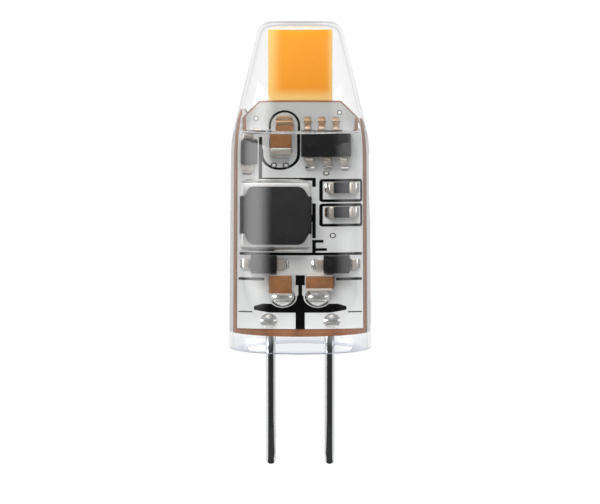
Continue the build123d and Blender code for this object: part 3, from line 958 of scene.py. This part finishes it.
class CAPSULE_OT_clear_body(bpy.types.Operator):
    """Turn the clear cap with its filling, and leave the crown hollow"""

    bl_idname = "capsule.clear_body"
    bl_label = "Clear cap and filling"

    def execute(self, context):
        size = sizes()
        rim, top, wall = body_high.x, body_high.z, size.cap_wall
        inner, recess = rim - wall, fill_low.z
        shoulder_corner = (size.shoulder_radius, size.shoulder_height)
        side = [(rim, 0.0), shoulder_corner, (size.crown_radius, top), (0.0, top)]
        rings = [Vector((inner, recess))]
        rings += round_corner((inner, recess), (inner, 0.0), side[0], size.rim_round, 4)
        skirt = round_corner((inner, 0.0), side[0], side[1], size.rim_round, 6)
        shoulder = round_corner(side[0], side[1], side[2], size.shoulder_blend, 14)
        rings += skirt
        rings += [skirt[-1].lerp(shoulder[0], part) for part in (0.02, 0.5, 0.98)]
        rings += shoulder
        rings += round_corner(side[1], side[2], side[3], size.crown_round, 14)
        outer = turned("clear_capsule", [tuple(point) for point in rings], size.body_segments)
        slope = (size.shoulder_radius - size.crown_radius) / (top - size.shoulder_height)
        level_wall = wall * math.hypot(1, slope)
        contact = size.fill_height + size.meniscus_rise
        contact_radius = size.crown_radius + (top - contact) * slope - level_wall
        foot = contact_radius - size.meniscus_run
        hollow = arc_rings((foot, contact), size.meniscus_run, size.meniscus_rise, 0, 90, 12)
        inner_top = top - wall
        inner_corner = (size.crown_radius + wall * slope - level_wall, inner_top)
        arc = round_corner(hollow[-1], inner_corner, (0.0, inner_top), size.crown_round - wall, 12)
        hollow += [tuple(point) for point in arc]
        air = turned("air", hollow, size.body_segments)
        root = size.fill_height - size.climb_seat
        for x, rise in ((-size.climb_offset, size.climb_left), (size.climb_offset, size.climb_right)):
            climb_rings = [(size.climb_foot, root), (size.climb_tip, size.fill_height + rise)]
            climb = turned("climb", climb_rings, segments=48, centre=(x, coat_low.y))
            apply_modifier(air, "BOOLEAN", operation="DIFFERENCE", object=climb, solver="EXACT")
            remove(climb)
        turn_inside_out(air)
        piece = join("clear_capsule", [outer, air])
        smooth(piece, angle=25)
        finish_piece(piece, "clear_plastic", clear_plastic(), "clear_body", "clear_filling")
        return {"FINISHED"}


class CAPSULE_OT_board(bpy.types.Operator):
    """Finish the board, its coats, lines and vias, and what is soldered to its rear"""

    bl_idname = "capsule.board"
    bl_label = "Board"

    def execute(self, context):
        finishes = {
            "board_core": board_fibre(),
            "board_front_coat": white_coat(),
            "board_rear_coat": white_coat(),
            "board_dark_lines": finish("dark gap"),
            "via_rings": finish("via ring"),
            "via_plugs": finish("via fill"),
            "light_plate": finish("plate ceramic"),
            "plate_joints": finish("solder"),
            "pin_solder_left": finish("solder"),
            "pin_solder_right": finish("solder"),
        }
        for node, material in finishes.items():
            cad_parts[node].material_slots[0].material = material
        return {"FINISHED"}


class CAPSULE_OT_light_plate(bpy.types.Operator):
    """Phosphor sheets on both faces of the light plate, with soft edges"""

    bl_idname = "capsule.light_plate"
    bl_label = "Light plate"

    def execute(self, context):
        for side in ("front", "rear"):
            node = "phosphor_" + side
            low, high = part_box(node)
            piece = rounded_block(low, high, SHEET_ROUND, "phosphor_sheet_" + side)
            finish_piece(piece, "phosphor", phosphor(), node)
        return {"FINISHED"}


class CAPSULE_OT_pins(bpy.types.Operator):
    """Contact pins: round shanks with domed tips and flattened tails"""

    bl_idname = "capsule.pins"
    bl_label = "Contact pins"

    def execute(self, context):
        size = sizes()
        low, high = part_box("pin_left")
        middle = (low.x + high.x) / 2
        tip_middle = (size.pin_radius - size.pin_tip_round, low.z + size.pin_tip_round)
        rings = arc_rings(tip_middle, size.pin_tip_round, size.pin_tip_round, 0, 90, 8)
        rings.append((size.pin_radius, fill_low.z + size.pin_tail_seat))
        shank = turned("shank", rings, segments=48, centre=(middle, 0))
        tail_low = (low.x, -size.pin_tail_front, fill_low.z)
        tail_high = (high.x, size.pin_tail_thickness - size.pin_tail_front, high.z)
        tail = rounded_block(tail_low, tail_high, STRIP_ROUND)
        left = join("contact_pin_left", [shank, tail])
        smooth(left)
        right = copy_of(left, (pin_low.x - low.x, 0, 0))
        right.name = right.data.name = "contact_pin_right"
        finish_piece(left, "pin_metal", finish("pin metal"), "pin_left")
        finish_piece(right, "pin_metal", finish("pin metal"), "pin_right")
        return {"FINISHED"}


class CAPSULE_OT_driver_chip(bpy.types.Operator):
    """Driver chip: moulded case with a dimple, six bent leads and their solder"""

    bl_idname = "capsule.driver_chip"
    bl_label = "Driver chip"

    def execute(self, context):
        low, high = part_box("driver_chip_body")
        case = moulded_case("chip_case", low, high)
        mark_rings = [(MARK_FLOOR, -low.y - MARK_DEPTH), (MARK_MOUTH, -low.y + MARK_ABOVE)]
        mark_centre = (low.x + MARK_INSET, low.z + MARK_INSET)
        mark = turned("mark", mark_rings, segments=32, centre=mark_centre, front=True)
        apply_modifier(case, "BOOLEAN", operation="DIFFERENCE", object=mark, solver="EXACT")
        remove(mark)
        smooth(case)
        finish_piece(case, "black_epoxy", finish("black epoxy"), "driver_chip_body")
        leads = repeated("chip_leads", "driver_chip_leads", bent_lead, [(low, high)])
        finish_piece(leads, "tinned_lead", finish("tinned lead"), "driver_chip_leads")
        solder_joints("chip_joints", "driver_chip_solder", [(low, high)])
        return {"FINISHED"}


class CAPSULE_OT_inductor(bpy.types.Operator):
    """Power inductor: ferrite drum with a cut-cornered top flange, wound wire, terminals and solder"""

    bl_idname = "capsule.inductor"
    bl_label = "Power inductor"

    foot_height: bpy.props.FloatProperty(
        name="Foot height", description="Thickness of the lower flange", default=0.3 * MM, unit="LENGTH"
    )
    flange_height: bpy.props.FloatProperty(
        name="Flange height", description="Thickness of the top flange", default=0.4 * MM, unit="LENGTH"
    )
    flange_width: bpy.props.FloatProperty(
        name="Flange width", description="Width of the top flange", default=4.0 * MM, unit="LENGTH"
    )
    corner_x: bpy.props.FloatProperty(
        name="Corner along X", description="Cut corner of the flange across",
        default=0.42 * MM, unit="LENGTH",
    )
    corner_z: bpy.props.FloatProperty(
        name="Corner along Z", description="Cut corner of the flange upwards",
        default=0.85 * MM, unit="LENGTH",
    )
    corner_round: bpy.props.FloatProperty(
        name="Corner round", description="Round on the flange's corners", default=0.28 * MM, unit="LENGTH"
    )
    drum_radius: bpy.props.FloatProperty(
        name="Drum radius", description="Radius of the drum inside the winding",
        default=1.0 * MM, unit="LENGTH",
    )

    def execute(self, context):
        low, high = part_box("inductor_core")
        middle = (low + high) / 2
        centre = (middle.x, middle.z)
        wound_low, wound_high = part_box("inductor_winding")
        shelf = high.y - self.foot_height
        half = self.flange_width / 2
        flange = start_block(
            "flange", (middle.x - half, low.y, low.z), (middle.x + half, low.y + self.flange_height, high.z)
        )
        corner_height = (high.z - low.z) / 2 - self.corner_z
        for side in (-1, 1):
            for end in (-1, 1):
                corner = Vector((middle.x + side * half, 0, middle.z + end * corner_height))
                pick(flange, "FACE", lambda face: True)
                slant = Vector((side * self.corner_z, 0, end * self.corner_x)).normalized()
                bpy.ops.mesh.bisect(
                    plane_co=corner, plane_no=slant, use_fill=True, clear_outer=True, threshold=SAME_PLACE
                )
        close_up(flange)
        picked = {edge.index for edge in flange.data.edges if self.runs_deep(flange, edge)}
        pick(flange, "EDGE", lambda edge: edge.index in picked)
        bpy.ops.mesh.bevel(offset=self.corner_round, segments=5, affect="EDGES")
        bpy.ops.object.mode_set(mode="OBJECT")
        soften(flange, FLAT_ROUND, limit=50)
        terminals = solid_boxes("inductor_terminals")
        foot_low = (low.x, shelf, terminals[0][1].z)
        foot_high = (high.x, high.y, terminals[1][0].z)
        foot = rounded_block(foot_low, foot_high, FLAT_ROUND)
        drum_top = -low.y - self.flange_height / 2
        drum_rings = [(self.drum_radius, -high.y), (self.drum_radius, drum_top)]
        drum = turned("drum", drum_rings, segments=48, centre=centre, front=True)
        core = join("coil_core", [flange, foot, drum])
        smooth(core)
        finish_piece(core, "ferrite", finish("ferrite"), "inductor_core")
        wire = (wound_high.y - wound_low.y) / sizes().winding_turns / 2
        radius = (wound_high.x - wound_low.x) / 2
        rings = []
        for turn in range(sizes().winding_turns):
            level = -wound_high.y + (2 * turn + 1) * wire
            rings += arc_rings((radius - wire, level), wire, wire, 10, 170, 6)
        winding = turned("coil_winding", rings, segments=72, centre=centre, front=True)
        smooth(winding, angle=50)
        finish_piece(winding, "winding_copper", finish("winding copper"), "inductor_winding")
        metal_blocks("coil_terminals", "inductor_terminals", STRIP_ROUND, finish("silver plating"))
        solder_joints("coil_joints", "inductor_solder", [(low, high)])
        return {"FINISHED"}

    @staticmethod
    def runs_deep(piece, edge):
        """Whether an edge runs along the line towards the viewer."""
        start, end = (piece.data.vertices[index].co for index in edge.vertices)
        return abs((end - start).normalized().y) > SAME_WAY


class CAPSULE_OT_chips(bpy.types.Operator):
    """Chip capacitors and resistors: softened bodies, round metal ends and solder"""

    bl_idname = "capsule.chips"
    bl_label = "Capacitors and resistors"

    def execute(self, context):
        kinds = (
            ("input_capacitor", "brown_ceramic", brown_ceramic()),
            ("upper_resistor", "resistor_glaze", finish("resistor glaze")),
            ("lower_resistor", "resistor_glaze", finish("resistor glaze")),
            ("left_chip", "brown_ceramic", brown_ceramic()),
            ("right_chip", "brown_ceramic", brown_ceramic()),
        )
        for name, slot, material in kinds:
            low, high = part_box(name + "_body")
            body = rounded_block(low, high, BLOCK_ROUND, name + "_block")
            finish_piece(body, slot, material, name + "_body")
            shortest = min(min(end_high - end_low) for end_low, end_high in solid_boxes(name + "_ends"))
            bend = min(sizes().metal_round, END_ROUND_SHARE * shortest)
            metal_blocks(name + "_metal_ends", name + "_ends", bend, finish("tinned lead"))
        solder_joints("capacitor_joints", "input_capacitor_solder", [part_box("input_capacitor_body")])
        resistors = [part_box("upper_resistor_body"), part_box("lower_resistor_body")]
        solder_joints("resistor_joints", "resistor_solder", resistors)
        return {"FINISHED"}


class CAPSULE_OT_diodes(bpy.types.Operator):
    """Diodes: moulded cases, flat leads and solder"""

    bl_idname = "capsule.diodes"
    bl_label = "Diodes"

    def execute(self, context):
        kinds = (("side_diode", "grey epoxy"), ("left_diode", "black epoxy"), ("right_diode", "black epoxy"))
        for name, epoxy in kinds:
            low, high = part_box(name + "_body")
            case = moulded_case(name + "_case", low, high)
            finish_piece(case, "black_epoxy", finish(epoxy), name + "_body")
            metal_blocks(name + "_flat_leads", name + "_leads", FLAT_ROUND, finish("tinned lead"))
        solder_joints("side_diode_joints", "side_diode_solder", [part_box("side_diode_body")])
        lower_row = [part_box("left_diode_body"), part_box("right_diode_body")]
        solder_joints("lower_diode_joints", "lower_diode_solder", lower_row)
        return {"FINISHED"}


class CAPSULE_OT_solder_drops(bpy.types.Operator):
    """Solder balls under the small chips and domes on the pin pads"""

    bl_idname = "capsule.solder_drops"
    bl_label = "Solder drops"

    def execute(self, context):
        face = -coat_low.y
        for kind in ("solder_ball", "pad_dome"):
            low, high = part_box(kind + "_left")
            radius = (high.x - low.x) / 2
            height = -low.y - face
            left_centre = ((low.x + high.x) / 2, low.z + radius)
            sphere = (radius**2 + height**2) / (2 * height)
            opening = math.degrees(math.acos((sphere - height) / sphere))
            middle = (0.0, face + height - sphere)
            rings = arc_rings(middle, sphere, sphere, 180 - opening, 180 - opening / 15, 14)
            left = turned(kind + "_drop_left", rings, segments=64, centre=left_centre, front=True)
            smooth(left)
            right_low, right_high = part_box(kind + "_right")
            right_middle = (right_low.x + right_high.x) / 2
            right = copy_of(left, (right_middle - left_centre[0], 0, right_low.z - low.z))
            right.name = right.data.name = kind + "_drop_right"
            finish_piece(left, "solder", finish("solder"), kind + "_left")
            finish_piece(right, "solder", finish("solder"), kind + "_right")
        return {"FINISHED"}


# Stage


def floor_white():
    """Pale floor that takes a shadow, and shows white to the eye and through glass.

    Reflections see it dark in front of the nearest pin, and pale elsewhere.
    """
    material, tree = new_material("floor white")
    place = coordinates(tree, "Object")
    noise = {"Vector": place, "Scale": FLOOR_GRAIN, "Detail": 2.0}
    grain = add_node(tree, "ShaderNodeTexNoise", noise).outputs["Fac"]
    tone = mix_colours(tree, grain, *FLOOR_TONES)
    spread = add_node(tree, "ShaderNodeVectorMath", {0: place}, operation="ABSOLUTE").outputs["Vector"]
    around_pin = add_node(tree, "ShaderNodeCombineXYZ", {
        "X": calculate(tree, "SUBTRACT", axes(tree, spread)["X"], pin_offset),
        "Y": axes(tree, place)["Y"],
    }).outputs["Vector"]
    bearing = add_node(tree, "ShaderNodeVectorMath", {0: around_pin}, operation="NORMALIZE").outputs["Vector"]
    ahead = remap(tree, axes(tree, bearing)["Y"], *FLOOR_AHEAD)
    ray = add_node(tree, "ShaderNodeLightPath").outputs
    dark_mirror = calculate(tree, "MULTIPLY", ahead, ray["Is Glossy Ray"])
    pale_mirror = calculate(tree, "SUBTRACT", ray["Is Glossy Ray"], dark_mirror)
    seen = calculate(tree, "MAXIMUM", ray["Is Camera Ray"], ray["Is Transmission Ray"])
    glowing = calculate(tree, "MAXIMUM", seen, calculate(tree, "MULTIPLY", pale_mirror, FLOOR_MIRROR_SHARE))
    dark = add_node(tree, "ShaderNodeEmission", {"Strength": 0.0}).outputs["Emission"]
    glow = add_node(tree, "ShaderNodeEmission", {"Strength": FLOOR_GLOW}).outputs["Emission"]
    colour = mix_colours(tree, dark_mirror, tone, FLOOR_DARK)
    matt = add_node(tree, "ShaderNodeBsdfDiffuse", {"Color": colour})
    surface = {0: matt.outputs["BSDF"], 1: mix_shaders(tree, glowing, dark, glow)}
    both = add_node(tree, "ShaderNodeAddShader", surface)
    add_node(tree, "ShaderNodeOutputMaterial", {"Surface": both.outputs["Shader"]})
    return material


def panel_glow(name, brightness):
    """Glow of a softbox panel that fades towards its sides and its lower edge."""
    material, tree = new_material(name)
    place = axes(tree, coordinates(tree, "UV"))
    rise = remap(tree, place["X"], *PANEL_RISE)
    fall = remap(tree, place["X"], *PANEL_FALL)
    sides = calculate(tree, "MULTIPLY", rise, fall)
    shape = calculate(tree, "MULTIPLY", sides, remap(tree, place["Y"], *PANEL_FOOT))
    strength = calculate(tree, "MULTIPLY", shape, brightness)
    glow = add_node(tree, "ShaderNodeEmission", {"Strength": strength})
    add_node(tree, "ShaderNodeOutputMaterial", {"Surface": glow.outputs["Emission"]})
    return material


def studio_world(room):
    """White behind the object and dark in front, for the eye, mirrors and glass, with an even room light."""
    world = bpy.context.scene.world or bpy.data.worlds.new("studio")
    bpy.context.scene.world = world
    world.use_nodes = True
    tree = world.node_tree
    tree.nodes.clear()
    sight = axes(tree, coordinates(tree, "Generated"))
    towards_rear = remap(tree, sight["Y"], -1.0, 1.0, ease="LINEAR")

    def background(colour, strength=1.0):
        inputs = {"Color": colour, "Strength": strength}
        return add_node(tree, "ShaderNodeBackground", inputs).outputs["Background"]

    def by_direction(greys):
        stops = [((rear + 1) / 2, (grey, grey, grey)) for rear, grey in greys]
        return background(colour_ramp(tree, towards_rear, stops))

    even = background((1, 1, 1, 1), room)
    ray = add_node(tree, "ShaderNodeLightPath").outputs
    layers = (
        (ray["Is Glossy Ray"], by_direction(MIRRORED_GREYS)),
        (ray["Is Transmission Ray"], by_direction(THROUGH_GREYS)),
        (calculate(tree, "GREATER_THAN", ray["Diffuse Depth"], SCATTERED_DEPTH), even),
        (ray["Is Camera Ray"], background((1, 1, 1, 1))),
    )
    surface = even
    for kind_of_ray, light in layers:
        surface = mix_shaders(tree, kind_of_ray, surface, light)
    add_node(tree, "ShaderNodeOutputWorld", {"Surface": surface})


def direction(azimuth, elevation):
    """Unit vector from the object, with azimuth 0 towards the camera and growing to the right."""
    flat = math.cos(math.radians(elevation))
    return Vector((
        math.sin(math.radians(azimuth)) * flat,
        -math.cos(math.radians(azimuth)) * flat,
        math.sin(math.radians(elevation)),
    ))


def panel(name, azimuth, width, brightness):
    """Softbox panel that faces the board and shows in the clear cap. A width below 0 mirrors its fade."""
    clear_selection()
    aim = Vector((0, 0, sizes().shoulder_height / 2))
    away = direction(azimuth, PANEL_ELEVATION)
    bpy.ops.mesh.primitive_plane_add(
        size=1, location=aim + away * PANEL_DISTANCE, rotation=away.to_track_quat("Z", "Y").to_euler()
    )
    piece = bpy.context.object
    piece.name = piece.data.name = name
    piece.scale = (width, PANEL_HEIGHT, 1)
    set_down(piece)
    piece.data.materials.append(panel_glow(name + " glow", brightness))
    piece.visible_camera = False


def key_lamp(azimuth, elevation, distance, width, brightness):
    """Large soft lamp high in front that lights the board and isn't seen through the clear plastic."""
    clear_selection()
    aim = Vector((0, 0, sizes().shoulder_height / 2))
    away = direction(azimuth, elevation)
    bpy.ops.object.light_add(type="AREA", location=aim + away * distance)
    lamp = bpy.context.object
    lamp.name = "key_lamp"
    lamp.rotation_euler = away.to_track_quat("Z", "Y").to_euler()
    lamp.data.shape = "SQUARE"
    lamp.data.size = width
    lamp.data.energy = math.pi * width * width * brightness
    lamp.visible_transmission = False


class CAPSULE_OT_stage(bpy.types.Operator):
    """Floor, soft studio light and the camera"""

    bl_idname = "capsule.stage"
    bl_label = "Stage"

    def execute(self, context):
        settings = stage_settings()
        clear_selection()
        bpy.ops.mesh.primitive_circle_add(
            vertices=96, radius=settings.floor_radius, fill_type="NGON", location=(0, 0, cad_low.z)
        )
        floor = context.object
        floor.name = floor.data.name = "floor"
        set_down(floor)
        floor.data.materials.append(floor_white())
        studio_world(settings.room)
        panel("left_panel", azimuth=-76, width=0.5, brightness=settings.left_panel)
        panel("right_panel", azimuth=80, width=-0.39, brightness=settings.right_panel)
        key_lamp(azimuth=-15, elevation=56, distance=0.45, width=0.3, brightness=settings.key_light)
        clear_selection()
        aim = Vector((settings.aim_offset, 0, settings.aim_height))
        tilt = settings.camera_elevation
        away = Vector((0, -math.cos(tilt), math.sin(tilt)))
        bpy.ops.object.camera_add(location=aim + away * settings.camera_distance)
        camera = context.object
        camera.rotation_euler = away.to_track_quat("Z", "Y").to_euler()
        camera.data.sensor_width = SENSOR_WIDTH
        camera.data.lens = settings.camera_lens
        context.scene.camera = camera
        context.scene.view_settings.view_transform = "Standard"
        return {"FINISHED"}


class CAPSULE_PT_pieces(bpy.types.Panel):
    """Lists the pieces in the order they are made"""

    bl_idname = "CAPSULE_PT_pieces"
    bl_label = "Capsule pieces"
    bl_space_type = "VIEW_3D"
    bl_region_type = "UI"
    bl_category = "Capsule"

    def draw(self, context):
        for operator in OPERATORS:
            self.layout.operator(operator.bl_idname)


OPERATORS = (
    CAPSULE_OT_clear_body,
    CAPSULE_OT_board,
    CAPSULE_OT_light_plate,
    CAPSULE_OT_pins,
    CAPSULE_OT_driver_chip,
    CAPSULE_OT_inductor,
    CAPSULE_OT_chips,
    CAPSULE_OT_diodes,
    CAPSULE_OT_solder_drops,
    CAPSULE_OT_stage,
)
CLASSES = (CapsuleSizes, CapsuleColours, CapsuleStage, *OPERATORS, CAPSULE_PT_pieces)


def register():
    for cls in CLASSES:
        bpy.utils.register_class(cls)
    bpy.types.Scene.capsule_sizes = bpy.props.PointerProperty(type=CapsuleSizes)
    bpy.types.Scene.capsule_colours = bpy.props.PointerProperty(type=CapsuleColours)
    bpy.types.Scene.capsule_stage = bpy.props.PointerProperty(type=CapsuleStage)


def unregister():
    del bpy.types.Scene.capsule_stage
    del bpy.types.Scene.capsule_colours
    del bpy.types.Scene.capsule_sizes
    for cls in reversed(CLASSES):
        bpy.utils.unregister_class(cls)


def main():
    register()
    bpy.ops.capsule.clear_body()
    bpy.ops.capsule.board()
    bpy.ops.capsule.light_plate()
    bpy.ops.capsule.pins()
    bpy.ops.capsule.driver_chip()
    bpy.ops.capsule.inductor()
    bpy.ops.capsule.chips()
    bpy.ops.capsule.diodes()
    bpy.ops.capsule.solder_drops()
    bpy.ops.capsule.stage()


if __name__ == "__main__":
    main()
